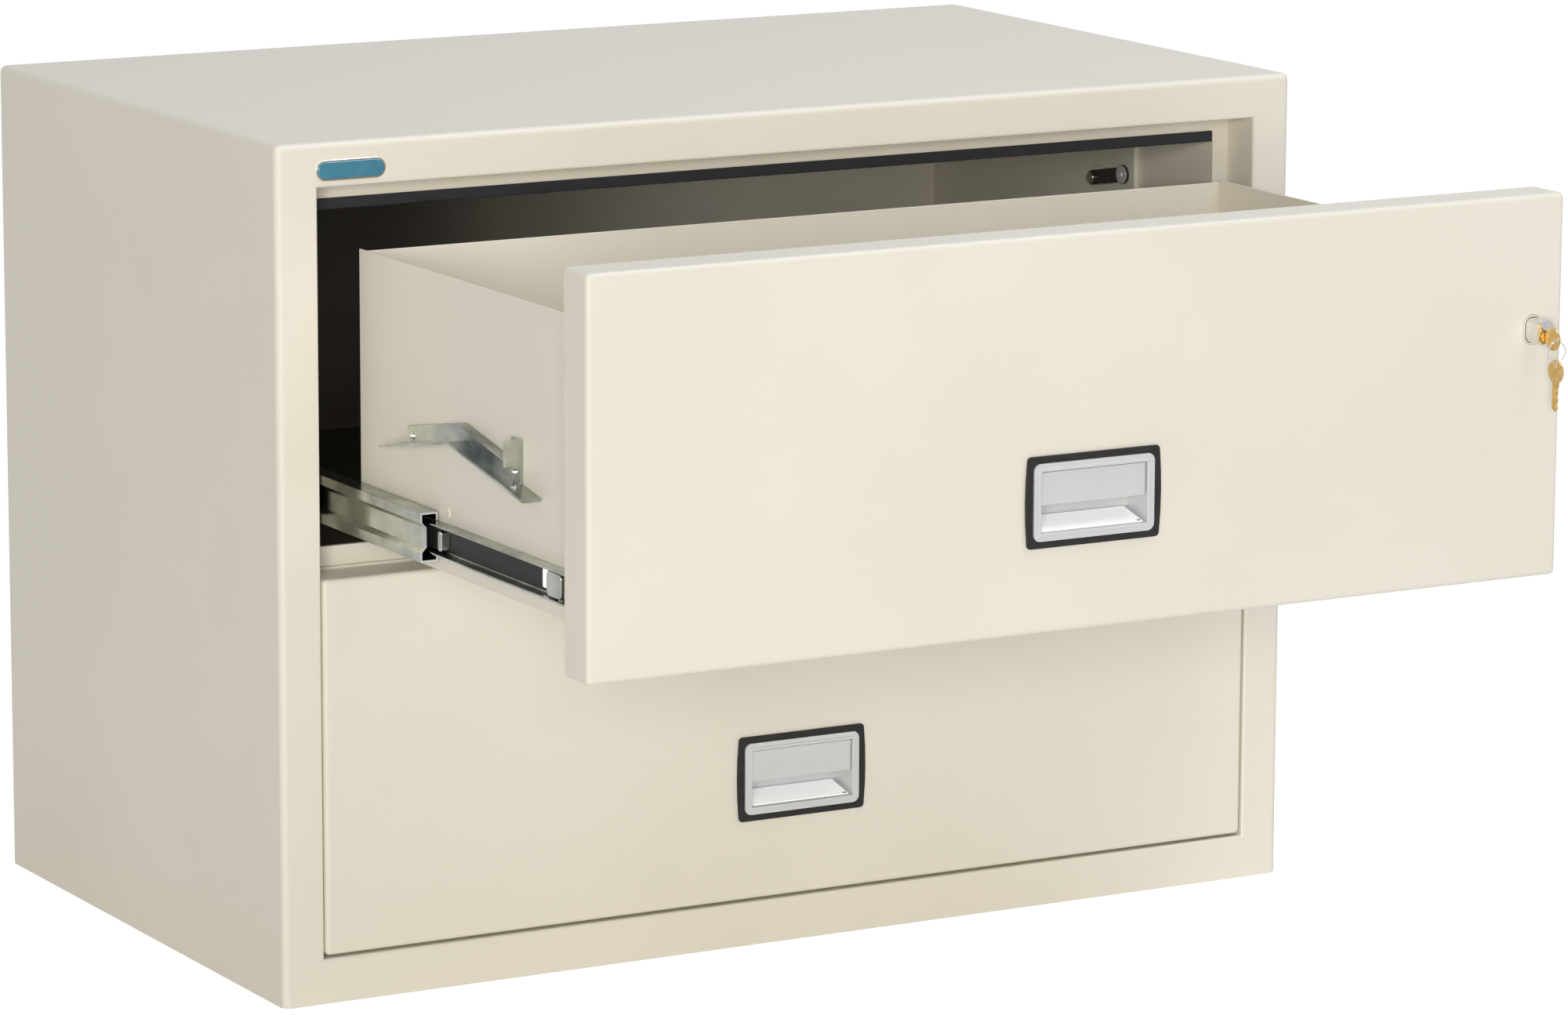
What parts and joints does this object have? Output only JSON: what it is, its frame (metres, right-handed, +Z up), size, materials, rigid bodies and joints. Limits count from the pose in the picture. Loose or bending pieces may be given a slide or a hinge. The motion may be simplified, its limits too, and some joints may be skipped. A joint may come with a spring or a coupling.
{
  "type": "lateral filing cabinet",
  "caption": "Insulated steel lateral filing cabinet with wide drawers on telescopic slides, recessed pull handles, an interlock and a push lock with keys; upper drawer open.",
  "frame": {"origin": "centre of the base on the floor, midway between the cabinet's sides and between its front and back", "axes": "+X across the front to the right as seen from the front, -Y out of the front, +Z up"},
  "size_m": [0.965, 1.0616, 0.711],
  "materials": {
    "putty_paint": "satin",
    "insulation": "matte",
    "zinc_plate": "satin",
    "dark_zinc": "satin",
    "black_rubber": "matte",
    "black_plastic": "satin",
    "silver_plastic": "satin",
    "chrome": "polished",
    "brass": "gloss"
  },
  "bodies": {
    "cabinet": {"outer_jacket": "putty_paint", "face_frame": "putty_paint", "back_panel": "putty_paint", "base_pan": "putty_paint", "insulation_left": "insulation", "insulation_right": "insulation", "insulation_top": "insulation", "insulation_bottom": "insulation", "insulation_back": "insulation", "insulation_divider": "insulation", "upper_liner": "putty_paint", "upper_gasket": "black_rubber", "lower_liner": "putty_paint", "lower_gasket": "black_rubber", "upper_cabinet_rail_left": "zinc_plate", "upper_cabinet_rail_right": "zinc_plate", "upper_interlock_bracket_left": "putty_paint", "upper_interlock_bracket_right": "putty_paint", "lower_cabinet_rail_left": "zinc_plate", "lower_cabinet_rail_right": "zinc_plate", "lower_interlock_bracket_left": "putty_paint", "lower_interlock_bracket_right": "putty_paint"},
    "upper_drawer": {"upper_front_pan": "putty_paint", "upper_front_core": "insulation", "upper_front_plug": "putty_paint", "upper_drawer_box": "putty_paint", "upper_folder_rail": "putty_paint", "upper_handle_bezel": "black_plastic", "upper_handle_cup": "silver_plastic", "upper_drawer_rail_left": "zinc_plate", "upper_drawer_rail_right": "zinc_plate", "upper_cam_bracket_left": "zinc_plate", "upper_cam_bracket_right": "zinc_plate", "lock_collar": "chrome"},
    "upper_left_runner": {"upper_middle_rail_left": "zinc_plate"},
    "upper_right_runner": {"upper_middle_rail_right": "zinc_plate"},
    "upper_paddle": {"upper_handle_paddle": "silver_plastic"},
    "upper_left_lever": {"upper_interlock_lever_left": "dark_zinc"},
    "upper_right_lever": {"upper_interlock_lever_right": "dark_zinc"},
    "lower_drawer": {"lower_front_pan": "putty_paint", "lower_front_core": "insulation", "lower_front_plug": "putty_paint", "lower_drawer_box": "putty_paint", "lower_folder_rail": "putty_paint", "lower_handle_bezel": "black_plastic", "lower_handle_cup": "silver_plastic", "lower_drawer_rail_left": "zinc_plate", "lower_drawer_rail_right": "zinc_plate", "lower_cam_bracket_left": "zinc_plate", "lower_cam_bracket_right": "zinc_plate"},
    "lower_left_runner": {"lower_middle_rail_left": "zinc_plate"},
    "lower_right_runner": {"lower_middle_rail_right": "zinc_plate"},
    "lower_paddle": {"lower_handle_paddle": "silver_plastic"},
    "lower_left_lever": {"lower_interlock_lever_left": "dark_zinc"},
    "lower_right_lever": {"lower_interlock_lever_right": "dark_zinc"},
    "lock_barrel": {"lock_plunger": "chrome"},
    "lock_core": {"lock_plug": "brass", "lock_key": "brass"},
    "ring": {"key_ring": "zinc_plate"},
    "hanging_key": {"spare_key": "brass"}
  },
  "joints": [
    {"name": "upper_drawer_slide", "type": "slide", "parent": "cabinet", "child": "upper_drawer", "axis": [0, -1, 0], "range_m": [-0.46, 0]},
    {"name": "upper_left_runner_slide", "type": "slide", "parent": "cabinet", "child": "upper_left_runner", "axis": [0, -1, 0], "range_m": [-0.23, 0]},
    {"name": "upper_right_runner_slide", "type": "slide", "parent": "cabinet", "child": "upper_right_runner", "axis": [0, -1, 0], "range_m": [-0.23, 0]},
    {"name": "upper_paddle_pull", "type": "hinge", "parent": "upper_drawer", "child": "upper_paddle", "pos_m": [0, -0.7394, 0.48145], "axis": [-1, 0, 0], "range_deg": [0, 25], "stiffness_Nm_per_rad": 0.05},
    {"name": "upper_left_lever_lift", "type": "hinge", "parent": "cabinet", "child": "upper_left_lever", "pos_m": [-0.42295, -0.055, 0.595], "axis": [-1, 0, 0], "range_deg": [0, 12]},
    {"name": "upper_right_lever_lift", "type": "hinge", "parent": "cabinet", "child": "upper_right_lever", "pos_m": [0.42295, -0.055, 0.595], "axis": [-1, 0, 0], "range_deg": [0, 12]},
    {"name": "lower_drawer_slide", "type": "slide", "parent": "cabinet", "child": "lower_drawer", "axis": [0, -1, 0], "range_m": [0, 0.46]},
    {"name": "lower_left_runner_slide", "type": "slide", "parent": "cabinet", "child": "lower_left_runner", "axis": [0, -1, 0], "range_m": [0, 0.23]},
    {"name": "lower_right_runner_slide", "type": "slide", "parent": "cabinet", "child": "lower_right_runner", "axis": [0, -1, 0], "range_m": [0, 0.23]},
    {"name": "lower_paddle_pull", "type": "hinge", "parent": "lower_drawer", "child": "lower_paddle", "pos_m": [0, -0.2794, 0.16545], "axis": [-1, 0, 0], "range_deg": [0, 25], "stiffness_Nm_per_rad": 0.05},
    {"name": "lower_left_lever_lift", "type": "hinge", "parent": "cabinet", "child": "lower_left_lever", "pos_m": [-0.42295, -0.055, 0.279], "axis": [-1, 0, 0], "range_deg": [0, 12]},
    {"name": "lower_right_lever_lift", "type": "hinge", "parent": "cabinet", "child": "lower_right_lever", "pos_m": [0.42295, -0.055, 0.279], "axis": [-1, 0, 0], "range_deg": [0, 12]},
    {"name": "lock_push", "type": "slide", "parent": "upper_drawer", "child": "lock_barrel", "axis": [0, 1, 0], "range_m": [0, 0.009], "stiffness_N_per_m": 400},
    {"name": "key_turn", "type": "hinge", "parent": "lock_barrel", "child": "lock_core", "pos_m": [0.4155, -0.74, 0.5565], "axis": [0, 1, 0], "range_deg": [0, 90]},
    {"name": "ring_swing", "type": "hinge", "parent": "lock_core", "child": "ring", "pos_m": [0.4155, -0.7726, 0.5549], "axis": [1, 0, 0], "range_deg": [-60, 10]},
    {"name": "spare_key_swing", "type": "hinge", "parent": "ring", "child": "hanging_key", "pos_m": [0.4155, -0.7726, 0.5379], "axis": [1, 0, 0], "range_deg": [-35, 8]}
  ],
  "couplings": [
    {"joint": "upper_left_runner_slide", "follows": "upper_drawer_slide", "ratio": 0.5},
    {"joint": "upper_right_runner_slide", "follows": "upper_drawer_slide", "ratio": 0.5},
    {"joint": "lower_left_runner_slide", "follows": "lower_drawer_slide", "ratio": 0.5},
    {"joint": "lower_right_runner_slide", "follows": "lower_drawer_slide", "ratio": 0.5}
  ]
}
